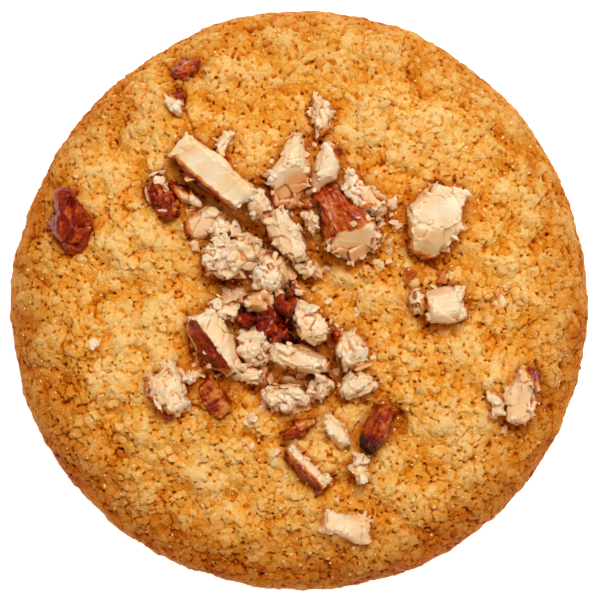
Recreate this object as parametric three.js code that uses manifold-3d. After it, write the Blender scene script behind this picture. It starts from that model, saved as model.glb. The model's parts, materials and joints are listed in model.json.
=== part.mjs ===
// Butter almond cookie: a round drop cookie with a crumbly golden top, chopped almonds baked into it
// and small almond flakes stuck to the dough. Millimetres, +Z up.
// The origin is the middle of the flat underside, and +Y points to the slab's end of the cookie.
import * as THREE from "three";
import { ImprovedNoise } from "three/addons/math/ImprovedNoise.js";
import { mergeVertices } from "three/addons/utils/BufferGeometryUtils.js";
import Module from "manifold-3d";

const wasm = await Module();
wasm.setup();

// Dough
const RADIUS = 35; // mean radius of the outline seen from above
const CROWN = 12; // height of the dough over the flat underside
const WIDEST = 4; // level at which the side stands out furthest
const FOOT = 32.6; // radius of the flat underside
const SHOULDER = 4.4; // power of the domed top: a larger one gives a flatter top and a tighter shoulder
const RINGS = 30; // rings of facets from the middle of the top down to the widest level
const LOWER_RINGS = 3; // rings of facets from there down to the underside
const SIDE_RELIEF = 0.3; // share of the top's relief that the side keeps

// Almonds
const GAP = 0.3; // clearance between an almond and whatever it lies on
const SUNK = 5; // how far an almond block reaches below its top before the dough is cut out of it
const ROUGHNESS = 0.16; // how far a corner strays from the plain outline, as a share of the width
const FLAKE_RISE = 0.55; // how far a small flake stands out of the dough
const FLAKE_SUNK = 1.6; // depth of a small flake in the dough

// The outline is a circle with a few shallow lobes; depth is a share of the radius, at is in degrees.
const LOBES = [
  { count: 2, depth: 0.0038, at: 58 },
  { count: 3, depth: 0.0057, at: 82 },
  { count: 5, depth: 0.0017, at: 2 },
  { count: 7, depth: 0.0014, at: 34 },
];

// Crags of the baked crumb, from broad swells to coarse grains.
const CRAGS = [
  { size: 9, depth: 1.0 },
  { size: 4, depth: 0.75 },
  { size: 2.3, depth: 0.5 },
];

// Sunken places in the top: creases run between two points, pits have one.
const HOLLOWS = [
  { from: [-4, 6], to: [2, -5], width: 9, depth: 1.1 },
  { from: [12.5, 28.5], to: [16.5, 25.5], width: 1.4, depth: 0.9 },
  { from: [16.5, 25.5], to: [21, 23], width: 1.3, depth: 0.7 },
  { from: [-26, 18.5], to: [-21, 20], width: 1.5, depth: 0.6 },
  { from: [11.5, -15], to: [18, -16.6], width: 1.4, depth: 0.8 },
  { from: [-14, 12], to: [-8, 9.5], width: 2.4, depth: 1.2 },
  { from: [-11.5, 2.3], to: [-1, 1], width: 1.8, depth: 1.0 },
  { from: [-14, -5.5], to: [-11.5, -8.5], width: 1.6, depth: 0.8 },
  { from: [-6, -9.5], to: [1, -10], width: 1.8, depth: 0.9 },
  { from: [17, 14.5], to: [20.8, 11.2], width: 1.6, depth: 0.9 },
  { from: [14, 5], to: [18.5, 5.2], width: 1.5, depth: 0.9 },
  { from: [-4, -18.4], to: [-2, -21], width: 1.5, depth: 0.8 },
  { from: [-24.5, 13.5], to: [-23.7, 10], width: 1.4, depth: 0.9 },
  { from: [26.2, 4.6], to: [26.2, 5.4], width: 0.9, depth: 1.0 },
  { from: [27, -4], to: [27, -4], width: 1.0, depth: 1.0 },
];

// Chopped almonds, those on top first: the middle in plan, then the length, the width and the rise over the
// dough, the heading of the length in degrees, the widths of the two ends as shares of the width, and the
// heading and the slope of the top in degrees. A facet's reach is how far from the middle its cut starts.
const ALMONDS = [
  flesh("slab", [-10.6, 15.4], [10.8, 4, 3], -41, [0.8, 0.75], [225, 5], { thick: 2.6 }),
  flesh("slab_tip", [-4.9, 11.6], [2.9, 2.1, 2.2], -60, [0.7, 0.7], [-60, 12]),
  flesh("roof", [5.3, 9.1], [9.6, 6.8, 4], -60, [0.5, 0.25], [113, 20], {
    belly: 0.13,
    facets: [{ heading: -67, slope: 36, reach: 0.8 }],
  }),
  flesh("ridge", [-1.1, 15.8], [9.3, 5.1, 3.4], 83, [0.15, 0.6], [80, 14], {
    belly: -0.05,
    facets: [{ heading: -76, slope: 30, reach: -0.8 }],
  }),
  flesh("round", [16.1, 9.6], [8.2, 6.3, 3.2], 72, [0.62, 0.5], [80, 8], {
    facets: [{ heading: -80, slope: 36, reach: 1 }],
  }),
  skin("red_side", [-10, -5], [8.4, 5, 3.2], -57, [0.4, 0.55], [40, 14], {
    facets: [{ heading: 215, slope: 44, reach: 0.2 }],
  }),
  flesh("middle", [-1.6, 7.6], [6.3, 3.5, 3], -60, [0.55, 0.6], [250, 10]),
  flesh("crumbly_left", [-8, 5.5], [6.2, 5, 2.4], 12, [0.55, 0.6], [240, 8]),
  flesh("crumbly_right", [-3.8, 3.8], [5.4, 4.2, 2.2], -40, [0.55, 0.45], [280, 8]),
  flesh("shard", [2.7, 15.7], [5.5, 3, 2.8], 66, [0.8, 0.4], [0, 16]),
  flesh("back", [7.6, 12.5], [5.8, 3.4, 2.4], -42, [0.6, 0.6], [40, 12]),
  flesh("peak", [2.3, 22.3], [4, 3, 1.6], 95, [0.35, 0.65], [60, 18]),
  flesh("button", [1.6, 9.7], [2.6, 2.4, 2.2], 0, [0.6, 0.6], [270, 8]),
  skin("flecked", [-16.7, 12.2], [5, 3, 1.6], -57, [0.75, 0.8], [200, 14]),
  flesh("under_slab", [-11.7, 9.5], [5.4, 3.3, 1.2], 15, [0.45, 0.8], [250, 12]),
  flesh("shaded", [-13.9, 12.9], [4.6, 1.9, 0.9], -35, [0.4, 0.6], [225, 12]),
  flesh("curl", [-9.2, 8.7], [3.6, 1.7, 2], 15, [0.75, 0.45], [300, 10]),
  flesh("square", [17.4, -0.3], [4.6, 3.8, 2.2], 4, [0.9, 0.95], [80, 6]),
  flesh("wedge", [14.3, 0], [2.4, 1.9, 1.7], 80, [0.75, 0.7], [200, 12]),
  flesh("right", [26.5, -11.3], [6.8, 3.7, 2.4], 75, [0.7, 0.55], [180, 8]),
  flesh("right_flake", [23.3, -12.3], [2.7, 1.8, 1.2], -70, [0.7, 0.7], [210, 12]),
  flesh("leaf", [-8.7, -0.9], [3, 1.9, 2.2], -12, [0.6, 0.5], [90, 10]),
  flesh("jagged", [-5.5, -5.4], [4.3, 3.2, 2.6], -75, [0.65, 0.7], [90, 8]),
  skin("red_low", [-5.2, -2], [4.8, 1.9, 1.3], 8, [0.4, 0.9], [300, 15]),
  skin("red_upright", [-1.7, -0.9], [3.1, 1.3, 2.4], -75, [0.8, 0.8], [190, 15]),
  skin("red_fold", [-3, -3.9], [3.8, 1.8, 1.5], -25, [0.6, 0.6], [250, 14]),
  flesh("pink", [1, -2.4], [5.4, 3.5, 2.2], -45, [0.5, 0.55], [90, 8]),
  flesh("flat", [0, -6.8], [7.2, 3.6, 2.4], -10, [0.5, 0.4], [80, 6]),
  flesh("striped_edge", [6.1, -5.7], [4.7, 3.7, 2.5], -70, [0.6, 0.6], [20, 10]),
  flesh("star", [6.8, -10], [4.4, 2.8, 1.6], 25, [0.6, 0.6], [80, 8]),
  flesh("torn", [-1.9, -11.7], [5.8, 3.4, 1.6], -6, [0.4, 0.35], [100, 10]),
  flesh("lump", [-15.7, -10.5], [5.2, 4.6, 2.4], -65, [0.7, 0.7], [100, 8]),
  skin("ribbed", [-10.1, -11.7], [5.5, 3.5, 1.8], -55, [0.6, 0.55], [250, 10]),
  skin("red_sliver", [-0.3, -15.1], [4.3, 1.6, 1.2], 30, [0.5, 0.6], [300, 15]),
  flesh("petal", [4.3, -15.5], [4.3, 2.4, 1.4], -52, [0.55, 0.55], [60, 10]),
  skin("dark_tip", [8.9, -15.2], [5.9, 2.8, 2.4], 68, [0.75, 0.45], [200, 15]),
  flesh("tooth", [7.3, -19.7], [3.2, 1.9, 1.6], -75, [0.6, 0.6], [90, 8]),
  flesh("split", [0.7, -19.7], [6, 2.3, 1.8], -47, [0.7, 0.5], [45, 10]),
  flesh("tile", [5.4, -26.8], [5.6, 4.3, 2], -12, [0.7, 0.85], [80, 10]),
  skin("knot", [-27.6, 9.6], [6.7, 4.3, 1.8], 98, [0.6, 0.6], [180, 14]),
  skin("rim_flake", [-13.7, 27.8], [3.4, 1.9, 1.5], 15, [0.6, 0.6], [110, 25]),
  flesh("buried", [-15.2, 23.9], [2.9, 2, 1.4], 30, [0.6, 0.7], [120, 15]),
  flesh("shelf", [-6.3, -8.7], [3.6, 1.9, 1], -5, [0.7, 0.6], [260, 10]),
  flesh("torn_right", [2.6, -10.4], [3, 2.3, 1.3], 60, [0.6, 0.7], [320, 12]),
  flesh("bit", [-12.9, -8.8], [2.3, 1.5, 1.6], 15, [0.7, 0.6], [120, 12]),
  flesh("amber", [-5.2, 0.1], [2.7, 1.9, 1.1], 25, [0.6, 0.6], [280, 14]),
  flesh("pink_bit", [1.1, 3.9], [2.4, 1.6, 1.2], -28, [0.7, 0.6], [300, 10]),
  flesh("half_buried", [-9, 19.2], [2.9, 1.9, 1.2], 40, [0.6, 0.6], [120, 12]),
];

// Small flakes stuck to the dough.
const FLAKES = [
  { at: [22.7, 1.2], long: 1.9, wide: 1.5, turn: 10 },
  { at: [26, 0.6], long: 1.9, wide: 1.2, turn: -60 },
  { at: [25.7, -1.6], long: 1.3, wide: 0.9, turn: 20 },
  { at: [10, 24.2], long: 1.5, wide: 1.2, turn: 40 },
  { at: [-24.6, -5.1], long: 1.4, wide: 1.1, turn: 70 },
  { at: [-6, -14.4], long: 1.5, wide: 1.1, turn: 15 },
  { at: [7.9, 3.4], long: 1.5, wide: 1, turn: -35 },
  { at: [-22.4, -12.3], long: 1.4, wide: 1, turn: 30 },
  { at: [-26.3, -2.7], long: 1.3, wide: 0.9, turn: -20 },
  { at: [-17.4, 16.4], long: 1.9, wide: 1.3, turn: -15 },
  { at: [11.1, 9.1], long: 1.9, wide: 1, turn: -75 },
  { at: [-0.3, 1.8], long: 2.2, wide: 0.9, turn: -58 },
  { at: [13.3, 3], long: 2, wide: 0.8, turn: -62 },
  { at: [17, 3], long: 3.4, wide: 0.9, turn: 14 },
];

/** A chopped almond that shows mostly its pale flesh. */
function flesh(name, at, [long, wide, rise], turn, ends, lean, more = {}) {
  return { name, at, long, wide, rise, turn, ends, lean, color: "#f2d9a8", ...more };
}

/** A chopped almond that shows mostly its brown skin. */
function skin(name, at, size, turn, ends, lean, more = {}) {
  return { ...flesh(name, at, size, turn, ends, lean, more), color: "#7d2c18" };
}

const noise = new ImprovedNoise();
const up = new THREE.Vector3(0, 0, 1);

/** Radius of the outline in a direction given in radians. */
function outlineRadius(angle) {
  let swell = 1;
  for (const { count, depth, at } of LOBES) {
    swell += depth * Math.cos(count * (angle - THREE.MathUtils.degToRad(at)));
  }
  return RADIUS * swell;
}

/** Height of the smooth dome over a share of the outline's radius. */
function domeHeight(share) {
  return WIDEST + (CROWN - WIDEST) * Math.sqrt(Math.max(0, 1 - share ** SHOULDER));
}

/** Height of the smooth dome at a place in plan. */
function doughTop(x, y) {
  return domeHeight(Math.hypot(x, y) / outlineRadius(Math.atan2(y, x)));
}

/** How far the baked surface stands out of the smooth dome at a point on it. */
function relief(point) {
  let lift = 0;
  for (const { size, depth } of CRAGS) {
    lift += depth * noise.noise(point.x / size + size, point.y / size, point.z / size);
  }
  const flat = new THREE.Vector3(point.x, point.y, 0);
  const nearest = new THREE.Vector3();
  for (const { from, to, width, depth } of HOLLOWS) {
    const crease = new THREE.Line3(new THREE.Vector3(...from, 0), new THREE.Vector3(...to, 0));
    const away = crease.closestPointToPoint(flat, true, nearest).distanceTo(flat);
    lift -= depth * Math.exp(-((away / width) ** 2));
  }
  return lift;
}

/** Half of the dough's section from the middle of the top to the edge of the underside: evenly spaced
 *  points of share of radius and height, each with the direction in which its relief stands out. */
function meridian() {
  const dome = [];
  for (let i = 0; i <= 200; i += 1) {
    const turn = (i / 200) * (Math.PI / 2);
    const share = Math.sin(turn) ** (2 / SHOULDER);
    dome.push(new THREE.Vector2(share * RADIUS, domeHeight(share)));
  }
  const upper = new THREE.SplineCurve(dome).getSpacedPoints(RINGS);
  const lower = new THREE.EllipseCurve(FOOT, WIDEST, RADIUS - FOOT, WIDEST, 0, -Math.PI / 2, true);
  const points = [...upper, ...lower.getSpacedPoints(LOWER_RINGS).slice(1)];
  return points.map((point, i) => {
    const before = points[Math.max(i - 1, 0)];
    const after = points[Math.min(i + 1, points.length - 1)];
    const along = after.clone().sub(before).normalize();
    return { share: point.x / RADIUS, z: point.y, out: new THREE.Vector2(-along.y, along.x) };
  });
}

/** The dough: rings of facets whose count grows by six from ring to ring over the top, then stays even
 *  down the side, closed by a flat underside. */
function doughGeometry() {
  const section = meridian();
  const vertices = [];
  const faces = [];
  const starts = [];
  section.forEach(({ share, z, out }, ring) => {
    starts.push(vertices.length / 3);
    const count = ring === 0 ? 1 : 6 * Math.min(ring, RINGS);
    for (let i = 0; i < count; i += 1) {
      const angle = (i / count) * 2 * Math.PI;
      const reach = share * outlineRadius(angle);
      const point = new THREE.Vector3(reach * Math.cos(angle), reach * Math.sin(angle), z);
      const keep = SIDE_RELIEF + (1 - SIDE_RELIEF) * THREE.MathUtils.smoothstep(out.y, 0, 0.9);
      const lift = relief(point) * keep * THREE.MathUtils.smoothstep(z, 0, WIDEST);
      const radial = reach + lift * out.x;
      vertices.push(radial * Math.cos(angle), radial * Math.sin(angle), z + lift * out.y);
    }
  });
  for (let ring = 1; ring < section.length; ring += 1) {
    const inner = starts[ring - 1];
    const outer = starts[ring];
    const count = 6 * Math.min(ring, RINGS);
    const grows = ring <= RINGS;
    const innerCount = grows ? Math.max(count - 6, 1) : count;
    for (let i = 0; i < count; i += 1) {
      const sector = Math.floor((i * 6) / count);
      const behind = grows ? i - sector : i;
      const a = outer + i;
      const b = outer + ((i + 1) % count);
      const c = inner + (behind % innerCount);
      faces.push(a, b, c);
      const next = grows ? behind + 1 : i + 1;
      const startsSector = grows && ((i + 1) * 6) % count === 0;
      if (!startsSector) {
        faces.push(c, b, inner + (next % innerCount));
      }
    }
  }
  const rim = starts[section.length - 1];
  const middle = vertices.length / 3;
  vertices.push(0, 0, 0);
  const count = 6 * RINGS;
  for (let i = 0; i < count; i += 1) {
    faces.push(rim + ((i + 1) % count), rim + i, middle);
  }
  const geometry = new THREE.BufferGeometry();
  geometry.setAttribute("position", new THREE.Float32BufferAttribute(vertices, 3));
  geometry.setIndex(faces);
  geometry.computeBoundingBox();
  return geometry;
}

/** A closed geometry as a solid that can be joined and cut. */
function toSolid(geometry) {
  const bare = geometry.clone();
  bare.deleteAttribute("normal");
  bare.deleteAttribute("uv");
  const merged = mergeVertices(bare, 1e-4);
  const vertProperties = new Float32Array(merged.attributes.position.array);
  const triVerts = new Uint32Array(merged.index.array);
  return new wasm.Manifold(new wasm.Mesh({ numProp: 3, vertProperties, triVerts }));
}

/** The largest single body of a solid as a geometry. */
function toGeometry(solid) {
  const bodies = solid.decompose().sort((a, b) => b.volume() - a.volume());
  const { numProp, vertProperties, triVerts } = bodies[0].getMesh();
  const geometry = new THREE.BufferGeometry();
  geometry.setAttribute("position", new THREE.BufferAttribute(new Float32Array(vertProperties), numProp));
  geometry.setIndex(new THREE.BufferAttribute(new Uint32Array(triVerts), 1));
  return geometry;
}

/** Everything beyond a plane through a point, leaning by slope towards heading, both in degrees. */
function beyond(point, heading, slope) {
  const normal = new THREE.Vector3().setFromSphericalCoords(
    1,
    THREE.MathUtils.degToRad(slope),
    THREE.MathUtils.degToRad(heading + 90),
  );
  const facing = new THREE.Vector3(normal.x, -normal.z, normal.y);
  const box = new THREE.BoxGeometry(60, 60, 60).translate(0, 0, 30);
  box.applyQuaternion(new THREE.Quaternion().setFromUnitVectors(up, facing));
  return toSolid(box.translate(point.x, point.y, point.z));
}

/** Corners of a chopped piece in plan, round its own middle: two ends and a wider waist, roughened. */
function corners({ long, wide, turn, ends = [0.7, 0.6], belly = 0 }, seed, grow) {
  const half = long / 2 + grow;
  const side = wide / 2 + grow;
  const [head, tail] = ends;
  const waist = belly * long;
  const plain = [
    [half, -side * head],
    [half, side * head],
    [waist, side],
    [-half, side * tail],
    [-half, -side * tail],
    [waist, -side],
  ];
  THREE.MathUtils.seededRandom(seed);
  const stray = () => (THREE.MathUtils.seededRandom() - 0.5) * ROUGHNESS * wide;
  const middle = new THREE.Vector2(0, 0);
  return plain.map(([u, v]) =>
    new THREE.Vector2(u + stray(), v + stray()).rotateAround(middle, THREE.MathUtils.degToRad(turn)),
  );
}

/** A block with a piece's outline, from its sunken foot up to its leaning top. */
function block(piece, seed, grow) {
  const [x, y] = piece.at;
  const top = new THREE.Vector3(x, y, doughTop(x, y) + piece.rise + grow);
  const shape = new THREE.Shape(corners(piece, seed, grow));
  const depth = SUNK + 4;
  const prism = new THREE.ExtrudeGeometry(shape, { depth, bevelEnabled: false });
  let solid = toSolid(prism.translate(x, y, top.z - SUNK));
  const [heading, slope] = piece.lean;
  solid = solid.subtract(beyond(top, heading, slope));
  if (piece.thick) {
    const under = new THREE.Vector3(x, y, top.z - piece.thick - 2 * grow);
    solid = solid.subtract(beyond(under, heading + 180, 180 - slope));
  }
  return solid;
}

/** The block with its top broken into facets: the stated ones, then a bevel of its own on each edge. */
function chopped(piece, seed) {
  const [x, y] = piece.at;
  const level = doughTop(x, y) + piece.rise;
  let solid = block(piece, seed, 0);
  for (const { heading, slope, reach } of piece.facets ?? []) {
    const way = THREE.MathUtils.degToRad(heading);
    const start = new THREE.Vector3(x + reach * Math.cos(way), y + reach * Math.sin(way), level);
    solid = solid.subtract(beyond(start, heading, slope));
  }
  const ring = corners(piece, seed, 0);
  ring.forEach((corner, i) => {
    const next = ring[(i + 1) % ring.length];
    const edge = next.clone().sub(corner);
    const heading = THREE.MathUtils.radToDeg(edge.angle()) - 90;
    const width = (0.1 + 0.25 * THREE.MathUtils.seededRandom()) * Math.min(piece.wide, 3);
    const slope = 38 + 30 * THREE.MathUtils.seededRandom();
    const inward = new THREE.Vector2(-edge.y, edge.x).setLength(width);
    const start = corner.clone().add(next).multiplyScalar(0.5).add(inward);
    const way = THREE.MathUtils.degToRad(piece.lean[0]);
    const fall = Math.tan(THREE.MathUtils.degToRad(piece.lean[1]));
    const drop = fall * (start.x * Math.cos(way) + start.y * Math.sin(way));
    solid = solid.subtract(beyond(new THREE.Vector3(x + start.x, y + start.y, level - drop), heading, slope));
  });
  return solid;
}

/** A named mesh placed at a point, from a solid made round the cookie's own origin. */
function part(name, solid, material, at) {
  const mesh = new THREE.Mesh(toGeometry(solid).translate(-at.x, -at.y, -at.z), material);
  mesh.name = name;
  mesh.position.copy(at);
  return mesh;
}

const round = doughGeometry();
const centre = round.boundingBox.getCenter(new THREE.Vector3());
const cookie = new THREE.Group();
const baked = new THREE.Group();
baked.position.set(-centre.x, -centre.y, 0);
cookie.add(baked);

let dough = toSolid(round);
FLAKES.forEach((flake, i) => {
  const piece = { ...flake, rise: FLAKE_RISE, lean: [flake.turn + 120, 14], thick: FLAKE_RISE + FLAKE_SUNK };
  dough = dough.add(block(piece, 500 + i, 0));
});
const crumb = new THREE.MeshStandardMaterial({ color: "#d8943f", roughness: 0.85, metalness: 0 });
baked.add(part("cookie", dough, crumb, new THREE.Vector3(0, 0, 0)));

const almonds = new THREE.Group();
const lifted = dough.translate([0, 0, GAP]);
const placed = [];
ALMONDS.forEach((piece, i) => {
  let solid = chopped(piece, i + 1).subtract(lifted);
  for (const other of placed) {
    solid = solid.subtract(other);
  }
  placed.push(block(piece, i + 1, GAP));
  const material = new THREE.MeshStandardMaterial({ color: piece.color, roughness: 0.6, metalness: 0 });
  const [x, y] = piece.at;
  almonds.add(part(`almond_${piece.name}`, solid, material, new THREE.Vector3(x, y, doughTop(x, y))));
});
baked.add(almonds);

export default cookie;
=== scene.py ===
"""Butter almond cookie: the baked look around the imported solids.

The dough is a fine copy of its solid with grains, creases and pits, and loose crumbs and sugar lie on it.
Each chopped almond is a fine copy of its own solid, with broken faces, torn edges and its skin where the
real piece has it, and small almond flakes and crumbs lie on and between them.
"""

import json
import logging
import math
from dataclasses import dataclass, field
from enum import Enum

import bpy
import numpy as np
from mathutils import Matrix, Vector, noise
from mathutils.kdtree import KDTree

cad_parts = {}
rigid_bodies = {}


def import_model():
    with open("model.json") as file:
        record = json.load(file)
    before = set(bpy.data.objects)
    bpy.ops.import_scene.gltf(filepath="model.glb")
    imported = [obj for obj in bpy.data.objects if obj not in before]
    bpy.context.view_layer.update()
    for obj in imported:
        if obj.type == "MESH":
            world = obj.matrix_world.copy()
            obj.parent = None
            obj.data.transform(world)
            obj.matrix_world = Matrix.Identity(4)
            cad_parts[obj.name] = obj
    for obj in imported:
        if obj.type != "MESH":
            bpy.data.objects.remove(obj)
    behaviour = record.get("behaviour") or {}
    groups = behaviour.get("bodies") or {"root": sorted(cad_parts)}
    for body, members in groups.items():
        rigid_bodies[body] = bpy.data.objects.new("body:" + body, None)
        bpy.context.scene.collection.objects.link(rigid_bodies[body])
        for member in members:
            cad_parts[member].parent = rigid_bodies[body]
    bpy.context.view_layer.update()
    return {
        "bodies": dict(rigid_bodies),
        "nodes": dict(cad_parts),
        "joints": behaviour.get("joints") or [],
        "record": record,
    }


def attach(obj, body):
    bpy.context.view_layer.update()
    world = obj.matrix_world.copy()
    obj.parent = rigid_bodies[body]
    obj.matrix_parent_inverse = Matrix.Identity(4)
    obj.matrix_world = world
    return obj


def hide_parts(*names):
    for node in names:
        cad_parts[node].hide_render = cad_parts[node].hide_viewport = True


LOG = logging.getLogger("cookie")
MM = 0.001
BODY = "root"
IMAGE_PX = 600
TURN = 2 * math.pi
UPPER_MM = 4.0  # loose things lie only on ground that is higher than this
NOISE_STEP = 1.7  # how far apart two almonds lie in the noise, so that none break alike

Array = np.ndarray
Node = bpy.types.Node
NodeTree = bpy.types.NodeTree
Material = bpy.types.Material
Object = bpy.types.Object
Rng = np.random.Generator
Pair = tuple[float, float]
Triple = tuple[float, float, float]

MULTIPLY_ADD = {"operation": "MULTIPLY_ADD"}
TINT = {"data_type": "RGBA", "blend_type": "MULTIPLY"}


def linear(code: str) -> tuple[float, float, float, float]:
    """Turns an sRGB hex colour into linear RGBA.

    Args:
        code: six hex digits, with or without a leading #.

    Returns:
        Linear red, green, blue and an alpha of one.
    """
    digits = code.lstrip("#")
    srgb = [int(digits[i : i + 2], 16) / 255 for i in (0, 2, 4)]
    r, g, b = (c / 12.92 if c <= 0.04045 else ((c + 0.055) / 1.055) ** 2.4 for c in srgb)
    return r, g, b, 1.0


def new_material(name: str, **values: object) -> tuple[Material, Node]:
    """Makes a material with a Principled shader.

    Args:
        name: the material's name.
        values: what is the same all over the surface, by the socket's name with underscores for spaces.

    Returns:
        The material and its shader.
    """
    material = bpy.data.materials.new(name)
    material.use_nodes = True
    shader = material.node_tree.nodes["Principled BSDF"]
    for socket, value in values.items():
        shader.inputs[socket.replace("_", " ")].default_value = value
    return material, shader


def add_node(tree: NodeTree, kind: str, settings: dict | None = None, **inputs: object) -> Node:
    """Adds a shader node.

    Args:
        tree: the material's node tree.
        kind: the node's type name, without its first word ShaderNode.
        settings: properties of the node itself.
        inputs: a value or an output socket for each input, by its name with underscores for spaces, or by the
            letter i and its number.

    Returns:
        The new node.
    """
    node = tree.nodes.new(f"ShaderNode{kind}")
    for name, value in (settings or {}).items():
        setattr(node, name, value)
    for name, value in inputs.items():
        key = int(name[1:]) if name[0] == "i" and name[1:].isdigit() else name.replace("_", " ")
        if isinstance(value, bpy.types.NodeSocket):
            tree.links.new(value, node.inputs[key])
        else:
            node.inputs[key].default_value = value
    return node


def fill_ramp(node: Node, stops: dict[float, str]) -> Node:
    """Gives a Color Ramp node its stops.

    Args:
        node: the ramp.
        stops: sRGB hex colour of each place, from low to high.

    Returns:
        The same node.
    """
    elements = node.color_ramp.elements
    while len(elements) > 1:
        elements.remove(elements[-1])
    (first, code), *others = stops.items()
    elements[0].position = first
    elements[0].color = linear(code)
    for place, code in others:
        elements.new(place).color = linear(code)
    return node


def scale_for(size_mm: float) -> float:
    """Gives the texture scale on Object coordinates, in metres, for a pattern of that size."""
    return 1 / (size_mm * MM)


def smoothstep(low: float, high: float, value: Array) -> Array:
    """Eases from 0 at low to 1 at high."""
    t = np.clip((value - low) / (high - low), 0, 1)
    return t * t * (3 - 2 * t)


def direction(heading: float, elevation: float) -> Array:
    """Gives the unit vector of a heading in plan and an elevation, both in degrees."""
    h, e = math.radians(heading), math.radians(elevation)
    return np.array([math.cos(h) * math.cos(e), math.sin(h) * math.cos(e), math.sin(e)])


def noise_at(points: Array, size_mm: float, seed: float) -> Array:
    """Reads Perlin noise at points.

    Args:
        points: places in millimetres.
        size_mm: size of the noise's lumps.
        seed: shift that picks another part of the noise.

    Returns:
        One value from about -1 to 1 for each point.
    """
    q = points / size_mm + seed
    return np.array([noise.noise(p) for p in q.tolist()])


def cells_at(points: Array, size_mm: float, seed: float) -> tuple[Array, Array, Array]:
    """Reads a cell pattern at points.

    Args:
        points: places in millimetres.
        size_mm: size of a cell.
        seed: shift that picks another part of the pattern.

    Returns:
        For each point, how far inside its cell it is, the cell's own tone from 0 to 1, and the height of a
        facet that slopes across the cell in a way of its own.
    """
    q = points / size_mm + seed
    inside, tone, off = np.empty(len(q)), np.empty(len(q)), np.empty((len(q), 3))
    for i, p in enumerate(q.tolist()):
        reach, centres = noise.voronoi(p)
        inside[i] = reach[1] - reach[0]
        c = centres[0]
        tone[i] = (math.sin(c[0] * 12.99 + c[1] * 78.23 + c[2] * 37.72) * 43758.5) % 1
        off[i] = (p[0] - c[0], p[1] - c[1], p[2] - c[2])
    turn = np.stack([np.cos(tone * 97), np.sin(tone * 97), np.cos(tone * 211)], axis=1)
    return inside, tone, (off * turn).sum(axis=1)


def nearest(places: Array) -> KDTree:
    """Makes a search tree of places."""
    tree = KDTree(len(places))
    for i, place in enumerate(places.tolist()):
        tree.insert(place, i)
    tree.balance()
    return tree


def spaced(places: Array, least: float) -> list[int]:
    """Keeps places that are no nearer to each other than a distance.

    Args:
        places: points, the first ones kept before later ones.
        least: the least distance.

    Returns:
        The numbers of the places that are kept.
    """
    grid: dict[tuple[int, int, int], list[Triple]] = {}
    kept = []
    around = [(i, j, k) for i in (-1, 0, 1) for j in (-1, 0, 1) for k in (-1, 0, 1)]
    cells = np.floor(places / least).astype(int).tolist()
    for n, ((x, y, z), place) in enumerate(zip(cells, places.tolist())):
        near = (q for i, j, k in around for q in grid.get((x + i, y + j, z + k), ()))
        if all(math.dist(q, place) >= least for q in near):
            grid.setdefault((x, y, z), []).append(tuple(place))
            kept.append(n)
    return kept


def turned(rng: Rng, axes: Array, tilt: float) -> Array:
    """Makes a turning matrix for each axis: any spin about it, after a small random tilt.

    Args:
        rng: the seeded source of draws.
        axes: unit vectors that each shape's own upright follows.
        tilt: how far the upright strays, as a tangent.

    Returns:
        One matrix for each axis, whose rows are a shape's own three directions.
    """
    upright = axes + tilt * rng.normal(0, 1, axes.shape)
    upright /= np.linalg.norm(upright, axis=1, keepdims=True)
    across = np.cross(upright, rng.normal(0, 1, axes.shape))
    across /= np.linalg.norm(across, axis=1, keepdims=True)
    return np.stack([across, np.cross(upright, across), upright], axis=1)


def read_vectors(obj: Object, name: str) -> Array:
    """Reads one vector of each of a mesh's vertices, such as co or normal."""
    flat = np.empty(len(obj.data.vertices) * 3)
    obj.data.vertices.foreach_get(name, flat)
    return flat.reshape(-1, 3)


def coordinates(obj: Object) -> Array:
    """Reads a mesh's vertices in millimetres."""
    return read_vectors(obj, "co") / MM


def normals(obj: Object) -> Array:
    """Reads a mesh's vertex normals."""
    return read_vectors(obj, "normal")


def move_to(obj: Object, points: Array) -> None:
    """Puts a mesh's vertices at places in millimetres."""
    obj.data.vertices.foreach_set("co", (points * MM).ravel())
    obj.data.update()


def keep_value(obj: Object, name: str, values: Array) -> None:
    """Stores one number for each vertex as a named attribute, over any that it had."""
    attributes = obj.data.attributes
    attribute = attributes.get(name) or attributes.new(name, "FLOAT", "POINT")
    attribute.data.foreach_set("value", values.astype(np.float32))


def read_value(obj: Object, name: str) -> Array:
    """Reads a named attribute, one number for each vertex."""
    values = np.empty(len(obj.data.vertices), np.float32)
    obj.data.attributes[name].data.foreach_get("value", values)
    return values


def hollows(obj: Object, rounds: int) -> Array:
    """Gives how far each vertex lies below its surroundings.

    Args:
        obj: the mesh.
        rounds: how many edges away the surroundings reach.

    Returns:
        Millimetres for each vertex, negative where it stands proud.
    """
    points, outward = coordinates(obj), normals(obj)
    pairs = np.empty(len(obj.data.edges) * 2, int)
    obj.data.edges.foreach_get("vertices", pairs)
    a, b = pairs.reshape(-1, 2).T
    degree = np.bincount(pairs, minlength=len(points))[:, None]
    around = points.copy()
    for _ in range(rounds):
        total = np.zeros_like(around)
        np.add.at(total, a, around[b])
        np.add.at(total, b, around[a])
        around = total / degree
    return ((around - points) * outward).sum(axis=1)


def only(obj: Object) -> None:
    """Makes an object the only selected one, and active."""
    bpy.ops.object.select_all(action="DESELECT")
    obj.select_set(True)
    bpy.context.view_layer.objects.active = obj


def fine_copy(node: Object, name: str) -> Object:
    """Copies a CAD node's mesh into a new piece with its doubled vertices merged.

    Args:
        node: the CAD node, left as it is.
        name: the new piece's name.

    Returns:
        The piece.
    """
    piece = bpy.data.objects.new(name, node.data.copy())
    bpy.context.scene.collection.objects.link(piece)
    piece.data.materials.clear()
    only(piece)
    bpy.ops.object.mode_set(mode="EDIT")
    bpy.ops.mesh.select_all(action="SELECT")
    bpy.ops.mesh.remove_doubles(threshold=1e-6)
    bpy.ops.object.mode_set(mode="OBJECT")
    return piece


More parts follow.
